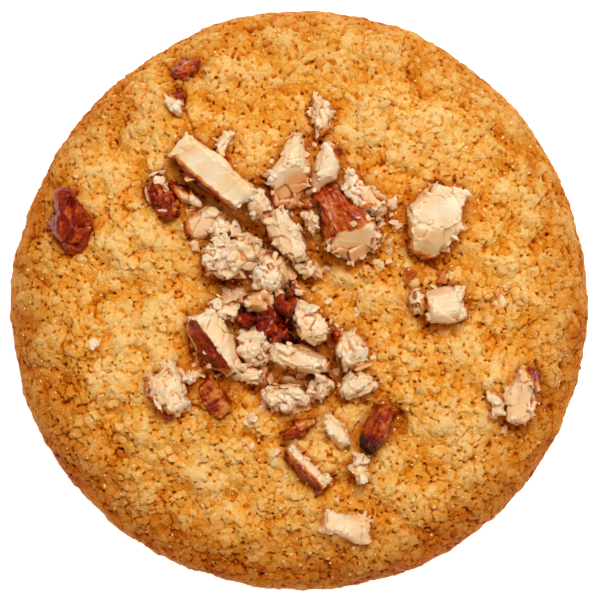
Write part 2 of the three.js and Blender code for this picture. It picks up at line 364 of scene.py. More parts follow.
def apply_modifier(obj: Object, kind: str, **settings: object) -> None:
    """Adds a modifier to a piece and applies it."""
    only(obj)
    modifier = obj.modifiers.new(kind.lower(), kind)
    for name, value in settings.items():
        setattr(modifier, name, value)
    bpy.ops.object.modifier_apply(modifier=modifier.name)


def mesh_piece(name: str, points: Array, loops: Array, sides: Array) -> Object:
    """Makes a piece from arrays.

    Args:
        name: the piece's name.
        points: its vertices in millimetres.
        loops: the vertex numbers of all faces, one face after another.
        sides: how many vertices each face has.

    Returns:
        The piece, smooth shaded.
    """
    mesh = bpy.data.meshes.new(name)
    mesh.vertices.add(len(points))
    mesh.vertices.foreach_set("co", (points * MM).ravel())
    mesh.loops.add(len(loops))
    mesh.loops.foreach_set("vertex_index", loops)
    mesh.polygons.add(len(sides))
    mesh.polygons.foreach_set("loop_start", np.r_[0, np.cumsum(sides)[:-1]])
    mesh.polygons.foreach_set("use_smooth", np.ones(len(sides), bool))
    mesh.update(calc_edges=True)
    mesh.validate()
    piece = bpy.data.objects.new(name, mesh)
    bpy.context.scene.collection.objects.link(piece)
    return piece


def joined_mesh(name: str, points: Array, faces: Array) -> Object:
    """Makes one piece of many like shapes.

    Args:
        name: the piece's name.
        points: shapes by corners by three, in millimetres.
        faces: the triangles of one shape.

    Returns:
        The piece, smooth shaded.
    """
    count, corners, _ = points.shape
    loops = (faces[None] + np.arange(count)[:, None, None] * corners).ravel()
    return mesh_piece(name, points.reshape(-1, 3), loops, np.full(count * len(faces), 3))


def ball() -> tuple[Array, Array]:
    """Gives the corners and the triangles of an icosahedron of radius one."""
    bpy.ops.object.select_all(action="DESELECT")
    bpy.ops.mesh.primitive_ico_sphere_add(subdivisions=1, radius=1)
    made = bpy.context.active_object
    corners = np.array([v.co for v in made.data.vertices])
    faces = np.array([p.vertices for p in made.data.polygons])
    bpy.data.objects.remove(made)
    return corners, faces


def dress(piece: Object, finish: Material) -> Object:
    """Gives a piece its finish and its body.

    Args:
        piece: the piece.
        finish: its material.

    Returns:
        The same piece.
    """
    piece.data.materials.append(finish)
    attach(piece, BODY)
    return piece


@dataclass(frozen=True)
class BakedDough:
    """Butter dough baked to a dry crumb: matt, golden, browner where it stood proud or was thin.

    Its colour also carries painted light on raised swells and painted shade in hollows, creases and pits,
    beside the almonds and on the side away from the light.
    """

    name: str = "baked_butter_dough"
    roughness: float = 0.58
    ior: float = 1.45
    specular: float = 0.08
    patch_mm: float = 5.0
    grit_mm: float = 0.3
    grain_mm: float = 0.5
    pinhole_mm: float = 2.2
    wave_mm: float = 0.6
    sway_mm: float = 0.5
    relief_mm: float = 0.1

    def build(self) -> Material:
        """Makes the material.

        Returns:
            The material, coloured by each vertex's own baked colour with painted light and shade.
        """
        material, shader = new_material(
            self.name, Roughness=self.roughness, IOR=self.ior, Specular_IOR_Level=self.specular
        )
        tree = material.node_tree
        place = add_node(tree, "TexCoord").outputs["Object"]
        bake_and_shade, toast_and_shade = (
            add_node(tree, "Attribute", {"attribute_name": name}).outputs["Fac"] for name in ("bake_and_shade", "toast_and_shade")
        )
        patch, grit, wave = (
            add_node(tree, "TexNoise", Vector=place, Scale=scale_for(size), Detail=detail).outputs
            for size, detail in ((self.patch_mm, 3.0), (self.grit_mm, 3.0), (self.wave_mm, 2.0))
        )
        swayed = add_node(
            tree, "VectorMath", MULTIPLY_ADD, i0=wave["Color"], i1=(self.sway_mm * MM,) * 3, i2=place
        ).outputs["Vector"]
        cells = add_node(
            tree, "TexVoronoi", {"feature": "DISTANCE_TO_EDGE"}, Vector=swayed, Scale=scale_for(self.grain_mm)
        )
        gap = add_node(
            tree, "MapRange", {"interpolation_type": "SMOOTHSTEP"}, Value=cells.outputs["Distance"],
            From_Max=0.2, To_Min=1.0, To_Max=0.0,
        ).outputs["Result"]
        holes = add_node(tree, "TexVoronoi", Vector=swayed, Scale=scale_for(self.pinhole_mm))
        hole = add_node(
            tree, "MapRange", Value=holes.outputs["Distance"], From_Min=0.05, From_Max=0.14, To_Min=1.0,
            To_Max=0.0,
        ).outputs["Result"]
        value = bake_and_shade
        # The gap and hole terms are painted shade: darker in the creases between grains and in the pinholes.
        for part, gain in ((patch["Fac"], 0.28), (grit["Fac"], 0.3), (gap, -0.06), (hole, -0.55)):
            value = add_node(tree, "Math", MULTIPLY_ADD, i0=part, i1=gain, i2=value).outputs["Value"]
        ramp = fill_ramp(add_node(tree, "ValToRGB", Fac=value), {
            0.0: "#330b01",
            0.2: "#7a2e04",
            0.4: "#b85a0a",
            0.55: "#de8617",
            0.7: "#f0a636",
            0.85: "#f9c262",
            1.0: "#fdda92",
        })
        # Multiplies in the darkening: browning towards the rim and low on the side, and painted shade beside
        # the almonds, where they hide the sky and on the side away from the key light.
        brown = add_node(tree, "Mix", TINT, i0=toast_and_shade, i6=ramp.outputs["Color"], i7=linear("#dabd98"))
        tree.links.new(brown.outputs[2], shader.inputs["Base Color"])
        relief = add_node(tree, "Math", MULTIPLY_ADD, i0=gap, i1=-0.9, i2=grit["Fac"])
        bump = add_node(
            tree, "Bump", Strength=0.65, Distance=self.relief_mm * MM, Height=relief.outputs["Value"]
        )
        tree.links.new(bump.outputs["Normal"], shader.inputs["Normal"])
        return material


@dataclass(frozen=True)
class AlmondFinish:
    """Chopped almond: waxy ivory flesh that light sinks into, and thin glossy red-brown skin with ribs."""

    name: str = "chopped_almond"
    flesh_roughness: float = 0.34
    skin_roughness: float = 0.26
    ior: float = 1.46
    specular: float = 0.45
    depth_mm: float = 0.6
    glow: float = 0.6
    warm_radii: Triple = (0.82, 0.92, 1.0)
    cloud_mm: float = 1.4
    oil_mm: float = 3.2
    fine_mm: float = 0.35
    relief_mm: float = 0.05

    def build(self) -> Material:
        """Makes the material.

        Returns:
            The material, with flesh or skin by each vertex's own share of skin.
        """
        material, shader = new_material(
            self.name, IOR=self.ior, Specular_IOR_Level=self.specular, Subsurface_Radius=self.warm_radii,
            Subsurface_Scale=self.depth_mm * MM,
        )
        tree = material.node_tree
        place = add_node(tree, "TexCoord").outputs["Object"]
        tone, skin, rib = (
            add_node(tree, "Attribute", {"attribute_name": name}).outputs["Fac"]
            for name in ("tone", "skin", "rib")
        )
        cloud, oily, fine = (
            add_node(tree, "TexNoise", Vector=place, Scale=scale_for(size), Detail=detail).outputs["Fac"]
            for size, detail in ((self.cloud_mm, 4.0), (self.oil_mm, 1.0), (self.fine_mm, 3.0))
        )
        # The tone carries the flesh's own colour and painted shade, so the ramp's high end is shaded flesh.
        mixed = add_node(tree, "Math", MULTIPLY_ADD, i0=cloud, i1=0.4, i2=tone)
        flesh = fill_ramp(add_node(tree, "ValToRGB", Fac=mixed.outputs["Value"]), {
            0.0: "#fff3e0",
            0.25: "#fde3c0",
            0.5: "#f8cb9c",
            0.75: "#e29c64",
            1.0: "#b0603c",
        })
        clear = add_node(tree, "MapRange", Value=oily, From_Min=0.48, From_Max=0.68, To_Max=0.45)
        butter = add_node(
            tree, "Mix", TINT, i0=clear.outputs["Result"], i6=flesh.outputs["Color"], i7=linear("#fae6b4")
        )
        lowered = add_node(tree, "Math", {"operation": "ADD"}, i0=skin, i1=-0.37)
        worn = add_node(tree, "Mix", {"data_type": "FLOAT"}, i0=0.8, i2=fine, i3=lowered.outputs["Value"])
        shade = worn.outputs[0]
        # The rib value carries the ribs and painted shade, darkening the skin.
        for part, gain in ((rib, 0.14), (cloud, 0.45)):
            shade = add_node(tree, "Math", MULTIPLY_ADD, i0=part, i1=gain, i2=shade).outputs["Value"]
        brown = fill_ramp(add_node(tree, "ValToRGB", Fac=shade), {
            0.56: "#dc9448",
            0.68: "#c5601c",
            0.78: "#a02c08",
            0.88: "#781403",
            0.95: "#5c0c02",
            1.0: "#1e0502",
        })
        amount = add_node(tree, "MapRange", Value=skin, From_Min=0.42, From_Max=0.54).outputs["Result"]
        colour = add_node(
            tree, "Mix", {"data_type": "RGBA"}, i0=amount, i6=butter.outputs[2], i7=brown.outputs["Color"]
        )
        tree.links.new(colour.outputs[2], shader.inputs["Base Color"])
        for socket, on_flesh, on_skin in (
            ("Roughness", self.flesh_roughness, self.skin_roughness),
            ("Subsurface Weight", self.glow, 0.0),
        ):
            spread = add_node(tree, "MapRange", Value=amount, To_Min=on_flesh, To_Max=on_skin)
            tree.links.new(spread.outputs["Result"], shader.inputs[socket])
        bump = add_node(tree, "Bump", Strength=0.15, Distance=self.relief_mm * MM, Height=fine)
        tree.links.new(bump.outputs["Normal"], shader.inputs["Normal"])
        return material


@dataclass(frozen=True)
class SugarFinish:
    """Sugar crystals: clear grains that glint and take the dough's warm colour."""

    name: str = "sugar_crystal"
    colour: str = "#fde6b8"
    roughness: float = 0.3
    ior: float = 1.54

    def build(self) -> Material:
        """Makes the material."""
        return new_material(
            self.name, Base_Color=linear(self.colour), Roughness=self.roughness, IOR=self.ior
        )[0]


@dataclass(frozen=True)
class PaleFloor:
    """Matt white studio paper."""

    name: str = "white_studio_paper"
    colour: str = "#f4f8ff"
    roughness: float = 0.9
    glow: float = 0.85

    def build(self) -> Material:
        """Makes the material."""
        return new_material(
            self.name, Base_Color=linear(self.colour), Roughness=self.roughness,
            Emission_Color=linear(self.colour), Emission_Strength=self.glow,
        )[0]


@dataclass
class Ground:
    """Height of whatever lies on top, on a fine grid, for laying crumbs and for shade."""

    cell_mm: float = 0.2
    half_mm: float = 37.0
    headings: int = 12
    distances_mm: tuple[float, ...] = (0.4, 0.8, 1.3, 2.0, 3.0)
    clear_mm: float = 0.1
    level: Array = field(init=False)
    closed: Array = field(init=False)

    def __post_init__(self) -> None:
        """Starts with an empty grid."""
        size = int(2 * self.half_mm / self.cell_mm) + 1
        self.level = np.zeros((size, size))
        self.closed = np.zeros((size, size), bool)

    def cells(self, points: Array) -> tuple[Array, Array]:
        """Gives the grid's two numbers for each point, those of its last cells past its edge."""
        i, j = np.round((points[:, :2] + self.half_mm) / self.cell_mm).astype(int).T
        last = len(self.level) - 3
        return np.clip(i, 2, last), np.clip(j, 2, last)

    def add(self, piece: Object, clean: bool = False) -> None:
        """Raises the grid to a piece's vertices, and closes it to crumbs where the piece is clean."""
        points = coordinates(piece)
        np.maximum.at(self.level, self.cells(points), points[:, 2])
        if clean:
            self.closed[self.cells(points)] = True

    def upright(self, points: Array) -> Array:
        """Gives the ground's normal at each point, over about a millimetre."""
        i, j = self.cells(points)
        run = 4 * self.cell_mm
        across = (self.level[i + 2, j] - self.level[i - 2, j]) / run
        along = (self.level[i, j + 2] - self.level[i, j - 2]) / run
        normal = np.stack([-across, -along, np.ones(len(points))], axis=1)
        return normal / np.linalg.norm(normal, axis=1, keepdims=True)

    def height(self, points: Array) -> Array:
        """Gives the ground's height at each point."""
        return self.level[self.cells(points)]

    def cover(self, points: Array) -> Array:
        """Gives how much of the sky is hidden by what stands around each point, from 0 to 1."""
        hidden = np.zeros(len(points))
        for i in range(self.headings):
            way = direction(360 / self.headings * i, 0)[:2]
            slope = np.zeros(len(points))
            for away in self.distances_mm:
                rise = self.height(points[:, :2] + away * way) - points[:, 2] - self.clear_mm
                slope = np.maximum(slope, rise / away)
            hidden += slope**2 / (1 + slope**2) / self.headings
        return hidden


# How much each form of the surface lightens or darkens the dough's colour. Swells and lumps are painted
# light on raised places and painted shade in low ones; soft borders, creases, pits, dips, hollows and the
# feet of ledges take painted shade; brown is browning towards the rim and low on the side, with painted
# shade on the side away from the key light; the last is painted shade beside the almonds.
BAKE_AND_SHADE_GAINS = {
    "swells": 0.24, "lumps": 0.38, "soft": -0.03, "crease": -0.08, "pit": -0.4, "dip": -0.22, "sunk": -0.08,
    "foot": -0.2, "brown": -0.14, "shade_near_almonds": -0.06,
}


@dataclass
class Dough:
    """The baked dough: a fine copy of its solid with fused grains of crumb, creases, pits and low ledges."""

    node: str = "cookie"
    name: str = "dough"
    radius_mm: float = 35.0
    fineness: int = 3
    tries: int = 50000
    spacing_mm: float = 0.64
    height_mm: float = 0.09
    tone: float = 0.06
    lean: float = 0.26
    weight_mm: float = 0.3
    crown_mm: float = 0.03
    sway_mm: float = 0.2
    border_mm: float = 0.17
    crease_mm: float = 0.1
    crease_depth_mm: float = 0.11
    pit_mm: float = 0.2
    pit_depth_mm: float = 0.55
    dip_depth_mm: float = 0.4
    ledge_mm: float = 0.35
    deep_share: float = 0.35
    pit_share: float = 0.24
    swells_mm: tuple[Pair, ...] = ((6.0, 0.6), (3.2, 0.64), (2.0, 0.3))
    lumps_mm: tuple[Pair, ...] = ((1.5, 0.3), (0.75, 0.1), (0.38, 0.06))
    wedges: int = 4
    wall_mm: float = 1.5
    middle_mm: float = 6.0
    # how far the painted shade beside the almonds reaches
    shade_near_almonds_mm: float = 1.4
    base_bake: float = 0.61
    under_bake: float = 0.34
    under_toast: float = 0.85
    seed: int = 41
    points: Array = field(init=False)
    outward: Array = field(init=False)
    quads: Array = field(init=False)
    bake_and_shade: Array = field(init=False)
    toast_and_shade: Array = field(init=False)
    sector: Array = field(init=False)

    def rim(self, points: Array) -> Array:
        """Gives each point's distance from the middle as a share of the radius."""
        return np.hypot(points[:, 0], points[:, 1]) / self.radius_mm

    def browning_and_side_shade(self, points: Array) -> Array:
        """Gives how much darker the dough is towards the rim and low on the side, from 0 to about 1, with
        painted shade on the side away from the key light.
        """
        ring = smoothstep(0.74, 1.0, self.rim(points))
        low = smoothstep(9.0, 3.0, points[:, 2])
        patch = 0.5 + 0.5 * noise_at(points, 7.0, 4.2)
        # Painted shade: darker towards -Y and -X, the side away from the key light.
        side = 0.2 - 0.36 * points[:, 1] / self.radius_mm - 0.13 * points[:, 0] / self.radius_mm
        return np.clip(ring * (0.35 + 0.5 * patch + side) + 0.5 * low, 0, 1.2)

    def shade_near_almonds(self, points: Array, almonds: Array) -> Array:
        """Gives how much painted shade darkens the dough close to the almonds, from 0 to 1."""
        tree = nearest(almonds * (1, 1, 0))
        away = np.full(len(points), self.radius_mm)
        upper = np.flatnonzero(points[:, 2] > self.middle_mm)
        away[upper] = [tree.find((x, y, 0))[2] for x, y, _ in points[upper].tolist()]
        return 1 - smoothstep(0.0, self.shade_near_almonds_mm, away)

    def build(self, frame: dict, ground: Ground, finish: Material) -> list[Object]:
        """Makes the dough and dresses it.

        Args:
            ground: the heights of the almonds, to which the dough is added.
            finish: the baked material.

        Returns:
            The pieces, one for each wedge of the cookie.
        """
        whole = fine_copy(frame["nodes"][self.node], self.name)
        keep_value(whole, "hollow", hollows(whole, 5))
        apply_modifier(whole, "SUBSURF", levels=self.fineness, render_levels=self.fineness)
        self.points, self.outward = coordinates(whole), normals(whole)
        corner = np.empty(len(whole.data.loops), int)
        whole.data.loops.foreach_get("vertex_index", corner)
        self.quads = corner.reshape(-1, 4)
        chopped = [coordinates(node) for name, node in frame["nodes"].items() if name != self.node]
        self.roughen(read_value(whole, "hollow"), np.concatenate(chopped))
        move_to(whole, self.points)
        relief = hollows(whole, 4)
        cover = smoothstep(0.05, 0.5, ground.cover(self.points)) * smoothstep(5.0, 7.0, self.points[:, 2])
        ground.add(whole)
        bpy.data.objects.remove(whole)
        # Painted shade: the dough darkens where the almonds around it hide its sky.
        self.toast_and_shade = np.clip(self.toast_and_shade + 0.8 * cover, 0, 1.5)
        self.bake_and_shade -= 0.07 * cover
        # Painted light on proud points and painted shade in the hollows of the finished surface.
        self.bake_and_shade += 0.05 * smoothstep(0.0, 0.1, -relief) - 0.16 * smoothstep(0.0, 0.12, relief)
        pieces = [self.wedge(i) for i in range(self.wedges)]
        for piece in pieces:
            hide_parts(self.node)
            dress(piece, finish)
        return pieces

    def crumb(self) -> tuple[Array, Array, dict[str, Array]]:
        """Parts the surface into grains and finds the wedge of each.

        Returns:
            Each vertex's lift by its grain in millimetres, the grain's tone, and by name how far the vertex
            lies on a soft border, in a crease or in a pit, from 0 to 1.
        """
        rng = np.random.default_rng(self.seed)
        points = self.points
        grains, _ = self.spots(rng, self.tries, self.spacing_mm)
        count = len(grains)
        height, tone = rng.normal(0, self.height_mm, count), rng.normal(0, self.tone, count)
        lean = rng.normal(0, self.lean, (count, 3))
        weight = rng.uniform(-self.weight_mm, self.weight_mm, count)
        tree = nearest(grains)
        sway = np.stack([noise_at(points, 0.6, seed) for seed in (3.1, 9.7, 17.9)], axis=1)
        swayed = points + self.sway_mm * sway
        near = np.array([[hit[1] for hit in tree.find_n(p, 4)] for p in swayed.tolist()])
        away = np.linalg.norm(swayed[:, None] - grains[near], axis=2) - weight[near]
        order = np.argsort(away, axis=1)
        away, near = np.take_along_axis(away, order, 1), np.take_along_axis(near, order, 1)
        pair, trio = np.sort(near[:, :2], axis=1), np.sort(near[:, :3], axis=1)
        draw = ((pair @ np.array([7919, 104729])) % 1009) / 1009
        holed = ((trio @ np.array([7907, 15373, 31337])) % 997) / 997 < self.pit_share
        border = (away[:, 1] - away[:, 0]) / 2
        fused = 0.65 + 0.35 * smoothstep(-0.2, 0.35, noise_at(points, 2.8, 61.3))
        crease = np.exp(-((border / self.crease_mm) ** 2))
        crease *= np.where(draw < self.deep_share, 1.0, 0.05 + 0.2 * draw)
        forms = {
            "soft": np.exp(-((border / self.border_mm) ** 2)) * fused,
            "crease": crease * fused,
            "pit": np.exp(-(((away[:, 2] - away[:, 0]) / self.pit_mm) ** 2)) * holed,
        }
        own = near[:, 0]
        angle = np.arctan2(grains[:, 1], grains[:, 0]) % TURN
        self.sector = (angle / TURN * self.wedges).astype(int)[own]
        lift = height[own] + ((points - grains[own]) * lean[own]).sum(axis=1)
        return (lift - self.crown_mm * (2 * away[:, 0]) ** 2) * fused, tone[own], forms

    def roughen(self, hollow: Array, almonds: Array) -> None:
        """Lifts grains, sinks creases and pits, and works out each vertex's baked colour, with painted light
        and shade from the forms of the surface.

        Args:
            hollow: how far each vertex lies below its surroundings.
            almonds: corners of the chopped almonds.
        """
        points, rim = self.points, self.rim(self.points)
        lift, tone, forms = self.crumb()
        for name, sizes in (("swells", self.swells_mm), ("lumps", self.lumps_mm)):
            forms[name] = sum(height * noise_at(points, size, 5.1 * size) for size, height in sizes)
        forms["dip"] = smoothstep(0.35, 0.75, noise_at(points, 1.1, 31.7))
        fault, reach = noise_at(points, 6.5, 23.9), smoothstep(0.0, 0.45, noise_at(points, 5.0, 47.1))
        forms["foot"] = reach * np.exp(-(((fault + 0.03) / 0.04) ** 2))
        ledge = self.ledge_mm * reach * smoothstep(-0.03, 0.03, fault)
        lift += (forms["swells"] + ledge) * (1 - 0.8 * smoothstep(0.86, 0.98, rim)) + forms["lumps"]
        lift -= self.crease_depth_mm * forms["crease"] + self.pit_depth_mm * forms["pit"]
        lift -= self.dip_depth_mm * forms["dip"]
        lift *= 1 - 0.58 * smoothstep(0.94, 1.0, rim)
        forms["sunk"] = smoothstep(0.0, 0.5, hollow) - 0.4 * smoothstep(0.0, 0.4, -hollow)
        forms["shade_near_almonds"], forms["brown"] = self.shade_near_almonds(points, almonds), self.browning_and_side_shade(points)
        bake_and_shade = self.base_bake + tone + sum(gain * forms[name] for name, gain in BAKE_AND_SHADE_GAINS.items())
        # Browning, with painted shade on the side away from the key light and beside the almonds.
        toast_and_shade = np.clip(forms["brown"] + 0.45 * forms["shade_near_almonds"], 0, 1.4)
        top = smoothstep(0.3, 1.8, points[:, 2])
        self.bake_and_shade = self.under_bake + (bake_and_shade - self.under_bake) * top
        self.toast_and_shade = self.under_toast + (toast_and_shade - self.under_toast) * top
        self.points = points + self.outward * (lift * top)[:, None]

    def wedge(self, number: int) -> Object:
        """Makes one wedge of the dough, parted from the others between grains and closed by inner walls.

        Args:
            number: which wedge, counted anticlockwise.

        Returns:
            The piece.
        """
        quads = self.quads[self.sector[self.quads[:, 0]] == number]
        starts, ends = quads.ravel(), np.roll(quads, -1, axis=1).ravel()
        size = len(self.points)
        lone = ~np.isin(starts * size + ends, ends * size + starts)
        used, quads = np.unique(quads, return_inverse=True)
        corners = np.stack([ends[lone], starts[lone]], axis=1)
        edge, wall = np.unique(corners, return_inverse=True)
        wall = wall.reshape(-1, 2) + len(used)
        inner = wall + len(edge)
        band = np.c_[wall, inner[:, ::-1]]
        fan = np.c_[inner, np.full(len(inner), len(used) + 2 * len(edge))]
        points, deep = self.points, self.points - self.wall_mm * self.outward
        points = np.concatenate([points[used], points[edge], deep[edge], [[0, 0, self.middle_mm]]])
        loops = np.concatenate([quads.ravel(), band.ravel(), fan.ravel()])
        sides = np.r_[np.full(quads.size // 4 + len(band), 4), np.full(len(fan), 3)]
        piece = mesh_piece(f"{self.name}_{number + 1}", points, loops, sides)
        hidden = np.full(2 * len(edge) + 1, 0.5)
        keep_value(piece, "bake_and_shade", np.concatenate([self.bake_and_shade[used], hidden]))
        keep_value(piece, "toast_and_shade", np.concatenate([self.toast_and_shade[used], hidden]))
        return piece

    def spots(self, rng: Rng, count: int, spacing_mm: float) -> tuple[Array, Array]:
        """Draws places spread evenly over the top and the side.

        Args:
            rng: the seeded source of draws.
            count: how many places are tried.
            spacing_mm: the least distance between two places.

        Returns:
            The places in millimetres and the dough's normal at each.
        """
        a, b, c, d = np.moveaxis(self.points[self.quads], 1, 0)
        cross = np.cross(c - a, d - b)
        area = np.linalg.norm(cross, axis=1) + 1e-12
        weight = np.where(a[:, 2] > 0.8, area, 0)
        pick = rng.choice(len(area), size=count, p=weight / weight.sum())
        u, v = rng.random((2, count, 1))
        places = (a[pick] * (1 - u) + b[pick] * u) * (1 - v) + (d[pick] * (1 - u) + c[pick] * u) * v
        kept = spaced(places, spacing_mm)
        return places[kept], (cross / area[:, None])[pick][kept]


@dataclass
class LooseGrains:
    """Loose grains that lie on the dough, of one kind and one range of sizes."""

    name: str
    tries: int
    spacing_mm: float
    size_mm: Pair
    sunk: float
    bake_and_shade: Pair
    seed: int
    reach: float
    flat: float = 0.7

    def build(self, dough: Dough, finish: Material) -> Object:
        """Scatters the grains.

        Args:
            dough: the dough that they lie on.
            finish: their material.

        Returns:
            The piece that holds them all.
        """
        rng = np.random.default_rng(self.seed)
        places, outward = dough.spots(rng, self.tries, self.spacing_mm)
        upper = (dough.rim(places) < self.reach) & (places[:, 2] > UPPER_MM)
        places, outward = places[upper], outward[upper]
        corners, faces = ball()
        count = len(places)
        half = rng.uniform(*self.size_mm, count) / 2
        shape = corners[None] * (1 + rng.normal(0, 0.2, (count, len(corners), 1)))
        stretch = np.stack([rng.uniform(0.8, 1.7, count), np.ones(count), np.full(count, self.flat)], axis=1)
        shape = shape * stretch[:, None] * half[:, None, None]
        turn = turned(rng, outward, 0.35)
        depth = half * self.flat * self.sunk
        points = np.einsum("nki,nij->nkj", shape, turn) + (places - outward * depth[:, None])[:, None]
        piece = joined_mesh(self.name, points, faces)
        low, high = self.bake_and_shade
        brown = dough.browning_and_side_shade(places)
        # Browner towards the rim, with painted shade on the side away from the key light.
        tone = low + (high - low) * rng.beta(2.2, 2.2, count) - 0.16 * brown
        keep_value(piece, "bake_and_shade", np.repeat(tone, len(corners)))
        keep_value(piece, "toast_and_shade", np.repeat(np.clip(brown, 0, 1), len(corners)))
        return dress(piece, finish)


LOOSE = LooseGrains("crumb_grains", 900, 1.2, (0.4, 0.75), 0.55, (0.4, 0.6), 71, 0.93)
SUGAR = LooseGrains("sugar_grains", 1500, 0.7, (0.2, 0.4), 0.4, (0.9, 1.0), 72, 0.96)


class Flesh(Enum):
    """Colours of cut almond, as a shift of its tone."""

    IVORY = 0.0
    PINK = 0.5
    AMBER = 1.0


@dataclass(frozen=True)
class SkinPatch:
    """Skin on the side of a piece that faces a way, as deep as stated from its outermost point."""

    heading: float
    depth_mm: float
    elevation: float = 12.0

    def share(self, points: Array, outward: Array) -> Array:
        """Gives each point's share of skin, from 0 to 1."""
        reach = points @ direction(self.heading, self.elevation)
        return 0.5 + (reach - (reach.max() - self.depth_mm)) / 0.7


@dataclass(frozen=True)
class SkinFace:
    """Skin on the facets of a piece that face a way."""

    heading: float
    elevation: float
    spread: float

    def share(self, points: Array, outward: Array) -> Array:
        """Gives each point's share of skin, from 0 to 1."""
        facing = np.degrees(np.arccos(np.clip(outward @ direction(self.heading, self.elevation), -1, 1)))
        return 0.5 + (self.spread - facing) / 30


@dataclass(frozen=True)
class SkinAll:
    """Skin all over a piece, worn through in flecks."""

    worn: float = 0.0

    def share(self, points: Array, outward: Array) -> Array:
        """Gives each point's share of skin, from 0 to 1."""
        return np.full(len(points), 1.0 - self.worn)


Skin = SkinPatch | SkinFace | SkinAll


@dataclass
class Almond:
    """One chopped almond: a fine copy of its solid, broken, torn at the edges and set into the dough."""

    name: str
    skins: tuple[Skin, ...] = ()
    flesh: Flesh = Flesh.IVORY
    torn: float = 1.0
    chips: float = 0.0
    fringe: float = 0.0
    # painted shade on the facets that face away from the light
    amber: SkinPatch | None = None
    # darker skin: painted shade on the scraps, a darker tip on dark_tip
    skin_darkening: Skin | None = None
    darkest: float = 1.0
    supple: float = 1.0
    ribs: Triple = (0.12, 1.0, 1.0)
    crumble: float = 0.0
    fold: float = 0.3
    rib_mm: float = 0.28
    rib_depth_mm: float = 0.05
    rib_gain: float = 1.0
    voxel_mm: float = 0.13
    sink_mm: float = 0.55
    swell_mm: float = 0.1
    facet_mm: float = 2.4
    crumb_mm: float = 1.6
    teeth_mm: Pair = (0.75, 0.38)

    def shade(self, piece: Object, ground: Ground) -> None:
        """Darkens the piece's colours where others stand over it."""
        cover = smoothstep(0.1, 0.75, ground.cover(coordinates(piece)))
        # Painted shade: the tone and the rib value, which also darkens the skin, rise where others hide the
        # sky.
        for name, gain in (("tone", 0.4), ("rib", 0.8)):
            keep_value(piece, name, read_value(piece, name) + gain * cover)

    def along(self, points: Array) -> Array:
        """Gives the points in the piece's own directions, its longest one first."""
        centred = points - points.mean(axis=0)
        _, directions = np.linalg.eigh(centred.T @ centred)
        return centred @ directions[:, ::-1]

    def skin_share(self, points: Array, outward: Array, seed: float) -> Array:
        """Gives each point's share of skin, with an uneven edge, from 0 to 1."""
        share = np.full(len(points), -1.0)
        for skin in self.skins:
            share = np.maximum(share, skin.share(points, outward))
        share = share + 0.2 * noise_at(points, 0.5, seed) + 0.3 * noise_at(points, 1.6, seed + 3)
        return np.clip(share, 0, 1)

    def broken(self, points: Array, edge: Array, seed: float) -> Array:
        """Works out the broken surface.

        Args:
            points: the smooth surface in millimetres.
            edge: how sharp an edge each point is on, and how bare of skin, from 0 to 1.
            seed: shift of the piece's own noise.

        Returns:
            How far each point lifts, in millimetres.
        """
        slim = self.supple * np.clip(np.ptp(self.along(points)[:, 1]) / 5, 0.3, 1)
        bend = slim * (0.3 * noise_at(points, 3.0, seed + 1) - 0.15 * np.abs(noise_at(points, 2.2, seed + 2)))
        large, small = self.teeth_mm
        inside, own, slope = cells_at(points, large, seed)
        tooth = (1.0 * (own - 0.55) + 0.5 * slope) * smoothstep(0.0, 0.08, inside)
        inside, own, slope = cells_at(points, small, seed + 4)
        tooth += (0.4 * (own - 0.5) + 0.3 * slope) * smoothstep(0.0, 0.1, inside)
        lift = self.swell_mm + bend + self.torn * edge * tooth
        if self.crumble:
            sway = 0.5 * np.stack([noise_at(points, 0.9, seed + s) for s in (11, 12, 13)], axis=1)
            _, own, slope = cells_at(points + sway, self.crumb_mm, seed + 6)
            pore = smoothstep(0.32, 0.55, noise_at(points, 0.9, seed + 7))
            knob = 0.6 * (own - 0.5) + 0.8 * slope + 0.2 * noise_at(points, 1.0, seed + 9)
            lift += self.crumble * (0.55 * knob - 0.4 * pore)
        _, own, slope = cells_at(points, self.facet_mm, seed + 10)
        return lift + self.fold * (1.3 * slope + 0.3 * (own - 0.5))

    def build(self, frame: dict, finish: Material, seed: float) -> Object:
        """Makes the piece and dresses it.

        Args:
            finish: the almond material.
            seed: shift of the piece's own noise.

        Returns:
            The piece.
        """
        node = f"almond_{self.name}"
        piece = fine_copy(frame["nodes"][node], f"chopped_{self.name}")
        apply_modifier(piece, "REMESH", mode="VOXEL", voxel_size=self.voxel_mm * MM)
        apply_modifier(piece, "SMOOTH", factor=0.5, iterations=1)
        points, outward = coordinates(piece), normals(piece)
        share = self.skin_share(points, outward, seed)
        rib = noise_at(self.along(points) * np.array(self.ribs), self.rib_mm, seed + 5)
        foot = 1 - smoothstep(points[:, 2].min(), points[:, 2].max(), points[:, 2])
        bare = 1 - smoothstep(0.4, 0.6, share)
        edge = smoothstep(0.03, 0.13, -hollows(piece, 14)) * (0.35 + 0.65 * bare)
        lift = self.broken(points, edge, seed) + self.rib_depth_mm * rib * (1 - bare)
        moved = points + outward * lift[:, None]
        moved[:, 2] -= self.sink_mm * foot
        move_to(piece, moved)
        apply_modifier(piece, "SMOOTH", factor=0.25, iterations=1)
        relief = hollows(piece, 5)
        proud, sunk = smoothstep(0.02, 0.12, -relief), smoothstep(0.01, 0.12, relief)
        # Painted light and shade in the tone: darker on steep sides, low near the dough and in hollows and
        # pores, lighter on proud edges, and crumbly pieces lighter overall against their own shade.
        side = 1 - np.clip(outward[:, 2], 0, 1)
        tone = 0.3 * self.flesh.value + 0.25 * noise_at(points, 2.2, seed + 8) + 0.1 * side + 0.2 * foot
        tone += (0.5 + 0.08 * self.crumble) * sunk - 0.15 * proud - 0.05 - 0.07 * self.crumble
        # Painted shade: the facets facing away from the light turn amber.
        if self.amber:
            tone += 0.3 * np.clip(self.amber.share(points, outward), 0, 1)
